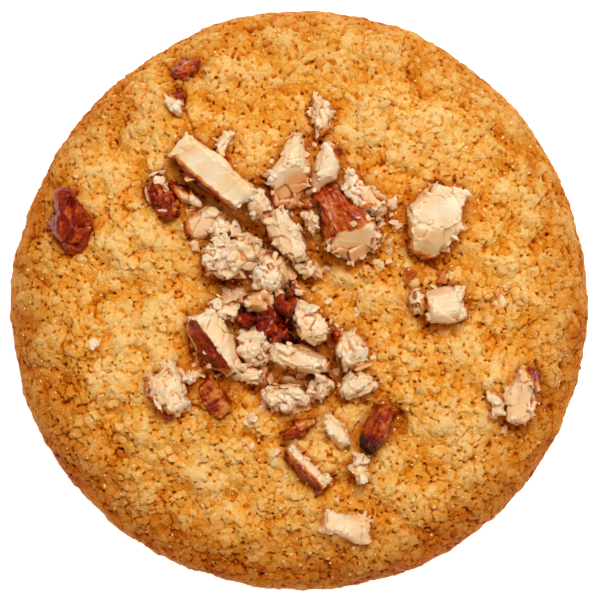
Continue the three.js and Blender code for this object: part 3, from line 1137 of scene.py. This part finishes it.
        # Darker skin: painted shade on the scraps that lie in shade among the pieces, and a darker tip on
        # dark_tip.
        darkening = np.clip(self.skin_darkening.share(points, outward), 0, 1.5) if self.skin_darkening else 0
        # Painted highlight: the skin is lighter on proud edges.
        keep_value(piece, "skin", np.clip(share - 0.1 * proud, 0, self.darkest))
        keep_value(piece, "rib", self.rib_gain * rib + darkening)
        keep_value(piece, "tone", tone)
        only(piece)
        bpy.ops.object.shade_smooth()
        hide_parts(node)
        return dress(piece, finish)


ALL = (SkinAll(),)
IVORY_CRUMBLE = {"torn": 0.4, "chips": 0.05, "fringe": 0.25}
PINK_CRUMBLE = {"flesh": Flesh.PINK, "torn": 0.5, "chips": 0.06, "crumble": 0.9}
PINK_BIT = {"flesh": Flesh.PINK, "chips": 0.1, "crumble": 0.7}
# The scraps' skin is darkened as painted shade, for they lie in shade among the pieces.
SCRAP = {"skins": ALL, "skin_darkening": SkinAll(0.35), "supple": 0.2, "fold": 1.0, "rib_depth_mm": 0.09}
ALMONDS = [
    Almond("slab", (SkinPatch(229, 0.8),), torn=0.7, fringe=0.3, fold=0.12),
    Almond("slab_tip", chips=0.1, crumble=0.8),
    Almond(
        "roof", (SkinPatch(110, 6.0, 0),), torn=0.9, fringe=0.4, amber=SkinPatch(270, 2.6), darkest=0.86
    ),
    Almond("ridge", (SkinPatch(-8, 0.4),), fringe=0.5, amber=SkinPatch(300, 3.0)),
    Almond("round", (SkinPatch(190, 0.4), SkinPatch(255, 0.3)), torn=1.2, fringe=0.3),
    Almond("red_side", (SkinFace(215, 46, 34),), torn=1.1, fringe=0.6),
    Almond("middle", torn=1.1, fringe=0.5),
    Almond("crumbly_left", (SkinAll(0.72),), crumble=1.3, **IVORY_CRUMBLE),
    Almond("crumbly_right", (SkinAll(0.72),), crumble=1.3, **IVORY_CRUMBLE),
    Almond("shard", (SkinPatch(25, 0.8),)),
    Almond("back", crumble=1.2, **IVORY_CRUMBLE),
    Almond("peak", (SkinPatch(300, 0.35),), chips=0.1, crumble=0.8),
    Almond("button", (), Flesh.PINK, torn=0.5, chips=0.05, crumble=1.0),
    Almond("flecked", (SkinAll(0.1),), Flesh.PINK, torn=0.6, chips=0.25, crumble=1.0),
    # These two lie under the slab: their pink flesh and dark edges are partly their own colour, partly
    # painted shade.
    Almond("under_slab", (SkinPatch(200, 0.9),), Flesh.PINK, torn=0.3),
    Almond("shaded", (SkinPatch(200, 0.8), SkinPatch(65, 0.8)), Flesh.PINK, torn=0.3),
    Almond("curl", (SkinPatch(310, 0.7),), chips=0.1, crumble=0.7),
    Almond("square", (SkinPatch(180, 0.35),), torn=0.9, fringe=0.4, fold=0.15),
    Almond("wedge", (SkinPatch(0, 0.4),), **PINK_CRUMBLE),
    Almond("right", (SkinPatch(28, 1.0),), Flesh.PINK, torn=1.2, fringe=0.3),
    Almond("right_flake", **PINK_CRUMBLE),
    Almond("leaf", **PINK_CRUMBLE),
    Almond("jagged", crumble=1.2, **IVORY_CRUMBLE),
    Almond("red_low", **SCRAP),
    Almond("red_upright", **SCRAP),
    Almond("red_fold", **SCRAP),
    Almond("pink", (), Flesh.PINK, torn=0.8, chips=0.06, crumble=0.6),
    Almond("flat", (SkinPatch(15, 0.6),), torn=1.2, fringe=0.7),
    Almond("striped_edge", (SkinPatch(160, 0.6),), chips=0.05, crumble=0.7),
    Almond("star", (SkinPatch(150, 0.4),), torn=0.8, chips=0.05, fringe=0.3, crumble=0.7),
    Almond("torn", crumble=1.2, **IVORY_CRUMBLE),
    Almond(
        "lump", (SkinPatch(255, 0.7),), torn=0.7, chips=0.05, fringe=0.3, crumble=0.8,
        amber=SkinPatch(200, 1.2),
    ),
    Almond(
        "ribbed", (SkinAll(0.15),), supple=0.4, rib_mm=0.3, rib_gain=1.4, ribs=(1.0, 0.08, 0.3), fold=0.1
    ),
    Almond("red_sliver", ALL, supple=0.4),
    Almond("petal", torn=0.8, fringe=0.3),
    Almond("dark_tip", ALL, darkest=0.94, supple=0.5, fold=0.15, skin_darkening=SkinPatch(240, 1.6)),
    Almond("tooth", chips=0.1, crumble=0.7),
    Almond("split", (SkinPatch(223, 0.9),)),
    Almond("tile", (), Flesh.PINK, torn=0.9, fringe=0.3, fold=0.12),
    Almond("knot", ALL, supple=0.6, fold=0.6, rib_depth_mm=0.09),
    Almond("rim_flake", ALL, supple=0.5),
    Almond("buried", (SkinPatch(70, 0.9),)),
    Almond("shelf", (), Flesh.PINK, fold=0.6),
    Almond("torn_right", (), Flesh.PINK, torn=0.5, chips=0.05, crumble=1.0),
    Almond("bit", **PINK_BIT),
    Almond("amber", (), Flesh.AMBER, fold=0.6),
    Almond("pink_bit", **PINK_BIT),
    Almond("half_buried", fold=0.6),
]


@dataclass(frozen=True)
class Shower:
    """Chips that fell on a patch of the top: where, how many, how large, how steep, how many with skin."""

    at_mm: Pair
    spread_mm: Pair
    count: int
    size_mm: Pair
    tilt: float = 0.3
    skin_share: float = 0.05


@dataclass
class AlmondChips:
    """Thin broken chips of almond, of one kind, on the dough and on the larger pieces."""

    name: str
    seed: int
    teeth: int = 10
    reach_mm: float = 31.0
    laid: list[tuple[Array, ...]] = field(default_factory=list)
    rng: Rng = field(init=False)

    def __post_init__(self) -> None:
        """Seeds the draws."""
        self.rng = np.random.default_rng(self.seed)

    def strew(self, fall: Shower, ground: Ground) -> None:
        """Lets a shower of chips fall on the ground, but not on clean pieces or past the rim."""
        flat = np.c_[self.rng.normal(fall.at_mm, fall.spread_mm, (fall.count, 2)), np.zeros(fall.count)]
        free = ~ground.closed[ground.cells(flat)] & (ground.height(flat) > UPPER_MM)
        flat = flat[(np.hypot(flat[:, 0], flat[:, 1]) < self.reach_mm) & free]
        upright = ground.upright(flat)
        flat[:, 2] = ground.height(flat)
        self.lay(flat, upright, fall)

    def coat(self, piece: Object, each_mm2: float, kind: Shower, edges: bool = False) -> None:
        """Sticks chips to the upper side of a piece.

        Args:
            piece: the piece.
            each_mm2: how many chips lie on a square millimetre.
            kind: the chips' size, tilt and share of skin.
            edges: whether they stick to its edges only.
        """
        points, outward = coordinates(piece), normals(piece)
        chance = (outward[:, 2] > 0.05).astype(float)
        if edges:
            chance *= smoothstep(0.02, 0.1, -hollows(piece, 14))
        area = sum(polygon.area for polygon in piece.data.polygons) / MM**2
        pick = self.rng.choice(len(points), int(each_mm2 * area * chance.mean()), p=chance / chance.sum())
        self.lay(points[pick], outward[pick], kind)

    def lay(self, places: Array, upright: Array, kind: Shower) -> None:
        """Draws a size, a turn and the skin of a chip for each place."""
        count = len(places)
        low, high = kind.size_mm
        size = low + (high - low) * self.rng.beta(1.3, 2.2, count)
        skin = np.where(self.rng.random(count) < kind.skin_share, 0.8, 0.0)
        self.laid.append((places, turned(self.rng, upright, kind.tilt), size, skin))

    def faces(self) -> Array:
        """Gives the triangles of one chip: two rings of corners, a top and an underside."""
        n = self.teeth
        i = np.arange(n)
        j = (i + 1) % n
        top, under = np.full(n, 2 * n), np.full(n, 2 * n + 1)
        sides = [(i, j, n + j), (i, n + j, n + i), (n + i, n + j, top), (j, i, under)]
        return np.concatenate([np.stack(corners, axis=1) for corners in sides])

    def shapes(self, count: int) -> Array:
        """Draws the corners of each chip, about one across."""
        rng, n = self.rng, self.teeth
        angle = (np.arange(n) + rng.uniform(-0.35, 0.35, (count, n))) * TURN / n
        ring = np.stack([np.cos(angle), np.sin(angle)], axis=2)
        shape = np.zeros((count, 2 * n + 2, 3))
        shape[:, :n, :2] = ring * rng.uniform(0.6, 1.2, (count, n, 1))
        shape[:, n : 2 * n, :2] = ring * rng.uniform(0.35, 0.75, (count, n, 1))
        shape[:, :n, 2] = rng.normal(-0.1, 0.2, (count, n))
        shape[:, n : 2 * n, 2] = rng.normal(0.45, 0.12, (count, n))
        shape[:, 2 * n :, 2] = 0.5, -0.6
        thick = rng.uniform(0.25, 0.5, count)
        stretch = np.stack([np.full(count, 1.1), rng.uniform(0.55, 1.0, count), thick], axis=1)
        return shape * stretch[:, None] / 2

    def build(self, ground: Ground, finish: Material) -> Object:
        """Makes all the chips.

        Args:
            ground: what they lie on.
            finish: the almond material.

        Returns:
            The piece that holds them all.
        """
        places, turn, size, skin = (np.concatenate(part) for part in zip(*self.laid))
        n, count = self.teeth, len(places)
        cover = smoothstep(0.05, 0.6, ground.cover(places))
        shape = self.shapes(count) * size[:, None, None]
        raised = places + 0.05 * size[:, None] * turn[:, 2]
        points = np.einsum("nki,nij->nkj", shape, turn) + raised[:, None]
        piece = joined_mesh(self.name, points, self.faces())
        # Painted light and shade on each chip: lighter at its outer edge and top, darker underneath and where
        # others hide its sky.
        across = np.r_[np.full(n, -0.1), np.full(n, 0.02), 0.1, 0.5]
        tone = self.rng.uniform(-0.2, 0.12, (count, 1)) + 0.3 * cover[:, None] + across
        keep_value(piece, "skin", np.repeat(skin, len(across)))
        keep_value(piece, "rib", np.zeros(tone.size))
        keep_value(piece, "tone", (tone + self.rng.normal(0, 0.08, tone.shape)).ravel())
        only(piece)
        bpy.ops.object.shade_flat()
        return dress(piece, finish)


# Chips that stick to a piece have no patch of their own.
STUCK = Shower((0, 0), (0, 0), 0, (1.1, 2.9), 0.45, 0.08)
FRINGE = Shower((0, 0), (0, 0), 0, (0.5, 1.5), 0.6, 0.06)
FLAKES = [
    Shower((-8.0, 5.6), (1.9, 1.2), 7, (1.2, 2.6), 0.4, 0.1),
    Shower((-3.3, 4.0), (1.4, 1.0), 6, (1.2, 2.4), 0.4, 0.1),
    Shower((-5.5, -5.4), (1.1, 1.0), 5, (1.1, 2.2), 0.4),
    Shower((1.3, -3.0), (1.6, 1.2), 4, (1.0, 2.2), 0.4),
    Shower((-1.7, -12.0), (1.9, 0.9), 6, (1.0, 2.4), 0.4),
    Shower((7.8, -8.8), (1.2, 1.6), 5, (0.9, 2.2), 0.4, 0.1),
    Shower((8.9, 9.8), (1.0, 1.1), 9, (0.9, 2.0), 0.4),
    Shower((9.4, 5.3), (1.0, 0.7), 7, (0.9, 1.7), 0.4),
    Shower((-3.9, 14.1), (0.2, 0.8), 3, (1.2, 2.2), 0.6),
    Shower((6.1, 15.3), (0.4, 0.2), 2, (1.0, 1.8)),
    Shower((11.4, 8.4), (0.3, 0.5), 2, (1.2, 1.8)),
    Shower((1.9, 12.1), (0.5, 0.5), 4, (0.8, 1.4)),
    Shower((-1.1, 10.4), (0.4, 0.3), 2, (1.2, 1.8)),
    Shower((-0.2, 1.5), (0.4, 0.5), 3, (1.2, 2.2)),
    Shower((-8.4, -0.5), (1.0, 0.8), 6, (1.0, 2.2)),
    Shower((-12.5, -8.8), (0.3, 0.7), 4, (0.9, 1.6)),
    Shower((-9.4, -9.0), (0.6, 0.2), 3, (0.9, 1.6)),
    Shower((-16.3, -7.5), (0.3, 0.3), 2, (0.8, 1.2)),
    Shower((-18.6, -9.5), (0.2, 0.4), 2, (0.8, 1.2)),
    Shower((-5.7, -14.4), (0.5, 0.6), 4, (0.9, 1.8)),
    Shower((-4.0, -17.3), (1.0, 0.6), 4, (0.8, 1.4)),
    Shower((24.0, 0.6), (1.4, 0.8), 4, (1.0, 1.8)),
    Shower((-24.6, -5.1), (0.2, 0.2), 1, (1.3, 1.6)),
    Shower((-0.4, -9.9), (3.2, 0.5), 9, (1.2, 2.4), 0.3),
    Shower((1.0, 12.0), (0.7, 1.0), 7, (1.0, 2.0), 0.6, 0.9),
    Shower((2.2, 18.8), (0.8, 0.9), 6, (0.8, 1.6), 0.3, 0.3),
    Shower((-4.3, 6.4), (0.7, 1.0), 5, (1.2, 2.2), 0.4),
    Shower((-6.5, 1.0), (2.2, 0.6), 9, (1.2, 2.4), 0.3),
    Shower((10.3, 9.5), (0.8, 2.0), 8, (0.9, 1.8), 0.3, 0.15),
    Shower((-13.5, 10.5), (1.8, 1.0), 9, (1.0, 2.2), 0.4, 0.35),
    Shower((-1.5, -3.6), (1.6, 1.2), 9, (1.0, 2.0), 0.5, 0.6),
    Shower((4.4, -8.0), (0.8, 1.2), 6, (1.0, 1.8), 0.4, 0.4),
    Shower((-14.0, -11.5), (1.6, 1.4), 6, (0.9, 1.8), 0.3),
    Shower((25.0, -11.8), (1.6, 2.0), 5, (0.9, 1.6), 0.3, 0.3),
    Shower((14.6, 1.6), (1.0, 1.2), 5, (0.9, 1.8), 0.4, 0.6),
    Shower((13.3, 3.0), (0.2, 0.5), 2, (1.8, 2.6), 0.4, 1.0),
    Shower((17.0, 3.0), (0.2, 0.5), 2, (1.8, 2.6), 0.4, 1.0),
]
CRUMBS = [
    Shower((-3.0, 1.0), (6.5, 8.0), 110, (0.35, 1.0)),
    Shower((0.0, 0.0), (15.0, 15.0), 25, (0.3, 0.7)),
]


@dataclass(frozen=True)
class SoftLight:
    """A square soft light that faces the cookie."""

    name: str
    place_m: Triple
    size_m: float
    power_w: float
    colour: str = "#fff9ef"

    def build(self) -> None:
        """Hangs the light."""
        light = bpy.data.lights.new(self.name, "AREA")
        light.color = linear(self.colour)[:3]
        light.size = self.size_m
        light.energy = self.power_w
        lamp = bpy.data.objects.new(self.name, light)
        lamp.location = self.place_m
        lamp.rotation_euler = (-Vector(self.place_m)).to_track_quat("-Z", "Y").to_euler()
        lamp.visible_camera = False
        bpy.context.scene.collection.objects.link(lamp)


@dataclass
class Studio:
    """White floor, soft overhead light and the camera straight above."""

    lens_mm: float = 250.0
    sensor_mm: float = 36.0
    px_per_mm: float = 8.26
    rim_level_mm: float = 4.5
    look_at_px: Pair = (299.5, 300.0)
    floor_m: float = 6.0
    floor_gap_mm: float = 0.05
    room_colour: str = "#ffd2a0"
    room_strength: float = 0.36
    lights: tuple[SoftLight, ...] = (
        SoftLight("key", (0.1, 0.33, 0.6), 0.28, 3.0),
        SoftLight("fill", (0.0, -0.1, 0.8), 0.8, 0.75),
    )

    def floor(self, finish: Material) -> None:
        """Lays a wide floor under the cookie."""
        bpy.ops.object.select_all(action="DESELECT")
        bpy.ops.mesh.primitive_plane_add(size=self.floor_m, location=(0, 0, -self.floor_gap_mm * MM))
        floor = bpy.context.active_object
        floor.name = "floor"
        floor.data.materials.append(finish)

    def room(self) -> None:
        """Fills the room with weak warm light."""
        world = bpy.data.worlds.new("soft_room")
        world.use_nodes = True
        background = world.node_tree.nodes["Background"]
        background.inputs["Color"].default_value = linear(self.room_colour)
        background.inputs["Strength"].default_value = self.room_strength
        bpy.context.scene.world = world

    def camera(self) -> None:
        """Sets the camera at the photograph's framing, with the image's top towards +Y."""
        data = bpy.data.cameras.new("camera")
        data.lens = self.lens_mm
        data.sensor_width = self.sensor_mm
        camera = bpy.data.objects.new("camera", data)
        away = self.lens_mm / self.sensor_mm * IMAGE_PX / self.px_per_mm
        left = (IMAGE_PX / 2 - self.look_at_px[0]) / self.px_per_mm
        down = (self.look_at_px[1] - IMAGE_PX / 2) / self.px_per_mm
        camera.location = (left * MM, down * MM, (away + self.rim_level_mm) * MM)
        bpy.context.scene.collection.objects.link(camera)
        bpy.context.scene.camera = camera

    def build(self, finish: Material) -> None:
        """Makes the room, the floor, the lights and the camera."""
        bpy.context.scene.view_settings.view_transform = "Standard"
        self.room()
        self.floor(finish)
        for light in self.lights:
            light.build()
        self.camera()


def main() -> None:
    """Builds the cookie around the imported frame."""
    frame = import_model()
    dough_finish = BakedDough().build()
    almond_finish = AlmondFinish().build()
    flake_finish = AlmondFinish("almond_flake", depth_mm=0.3, glow=0.3).build()
    dough, ground = Dough(), Ground()
    pieces = []
    for i, almond in enumerate(ALMONDS):
        pieces.append(almond.build(frame, almond_finish, NOISE_STEP * i))
        ground.add(pieces[i], almond.chips == 0)
    pieces += dough.build(frame, ground, dough_finish)
    for grains, finish in ((LOOSE, dough_finish), (SUGAR, SugarFinish().build())):
        pieces.append(grains.build(dough, finish))
    flakes, crumbs = AlmondChips("almond_flakes", 305), AlmondChips("almond_crumbs", 306)
    for almond, piece in zip(ALMONDS, pieces):
        almond.shade(piece, ground)
        flakes.coat(piece, almond.chips, STUCK)
        flakes.coat(piece, almond.fringe, FRINGE, edges=True)
    for chips, showers in ((flakes, FLAKES), (crumbs, CRUMBS)):
        for fall in showers:
            chips.strew(fall, ground)
        pieces.append(chips.build(ground, flake_finish))
    for piece in pieces:
        LOG.info("%s: %d faces", piece.name, len(piece.data.polygons))
    Studio().build(PaleFloor().build())


if __name__ == "__main__":
    logging.basicConfig(level=logging.INFO, format="%(name)s %(message)s")
    main()
